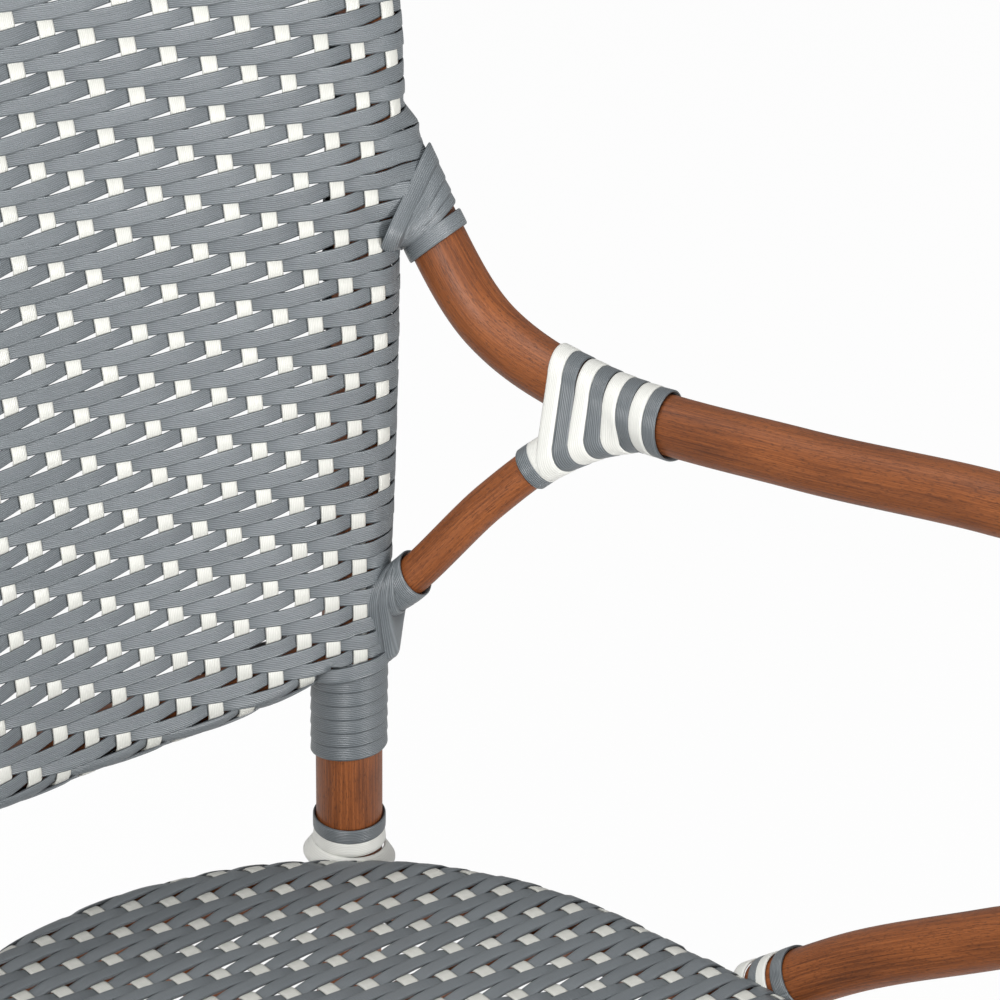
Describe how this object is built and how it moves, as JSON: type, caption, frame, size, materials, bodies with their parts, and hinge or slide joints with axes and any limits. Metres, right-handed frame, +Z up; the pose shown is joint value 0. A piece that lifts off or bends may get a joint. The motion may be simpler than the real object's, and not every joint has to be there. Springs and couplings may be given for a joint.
{
  "type": "rattan bistro armchair",
  "caption": "Bent-pole rattan bistro armchair with a twill-woven back and seat, looped arms, strip-bound joints and arched leg braces.",
  "frame": {"origin": "middle of the overall footprint, on the floor", "axes": "+X to the sitter's left, +Y to the back, +Z up; the front faces -Y"},
  "size_m": [0.5658, 0.5222, 0.9067],
  "materials": {
    "rattan": "satin lacquer",
    "woven_strand": "satin",
    "grey_strip": "satin",
    "white_strip": "satin",
    "glide": "matt",
    "screw": "plain"
  },
  "bodies": {
    "root": {"arm_brace_left": "rattan", "arm_brace_right": "rattan", "arm_end_ring_grey_left": "grey_strip", "arm_end_ring_grey_right": "grey_strip", "arm_end_ring_white_left": "white_strip", "arm_end_ring_white_right": "white_strip", "arm_left": "rattan", "arm_right": "rattan", "arm_root_wrap_left": "grey_strip", "arm_root_wrap_right": "grey_strip", "arm_screw_left": "screw", "arm_screw_right": "screw", "back_bottom_rail": "rattan", "brace_collar_grey_left": "grey_strip", "brace_collar_grey_right": "grey_strip", "brace_collar_white_left": "white_strip", "brace_collar_white_right": "white_strip", "brace_root_wrap_left": "grey_strip", "brace_root_wrap_right": "grey_strip", "front_leg_left": "rattan", "front_leg_right": "rattan", "front_leg_top_wrap_left": "grey_strip", "front_leg_top_wrap_right": "grey_strip", "front_leg_wrap_left": "grey_strip", "front_leg_wrap_right": "grey_strip", "glide_front_left": "glide", "glide_front_right": "glide", "glide_rear_left": "glide", "glide_rear_right": "glide", "leg_arch_front": "rattan", "leg_arch_left": "rattan", "leg_arch_rear": "rattan", "leg_arch_right": "rattan", "post_screw_left": "screw", "post_screw_right": "screw", "post_wrap_left": "grey_strip", "post_wrap_right": "grey_strip", "rear_leg_wrap_left": "grey_strip", "rear_leg_wrap_right": "grey_strip", "rear_post_left": "rattan", "rear_post_right": "rattan", "seat_cross_bar_front": "rattan", "seat_cross_bar_rear": "rattan", "seat_post_ring_grey_left": "grey_strip", "seat_post_ring_grey_right": "grey_strip", "seat_post_ring_white_left": "white_strip", "seat_post_ring_white_right": "white_strip", "seat_rail_front": "rattan", "seat_rail_left": "rattan", "seat_rail_rear": "rattan", "seat_rail_right": "rattan", "stripe_wrap_grey_left": "grey_strip", "stripe_wrap_grey_right": "grey_strip", "stripe_wrap_white_left": "white_strip", "stripe_wrap_white_right": "white_strip", "top_rail": "rattan", "woven_back": "woven_strand", "woven_seat": "woven_strand"}
  },
  "joints": []
}
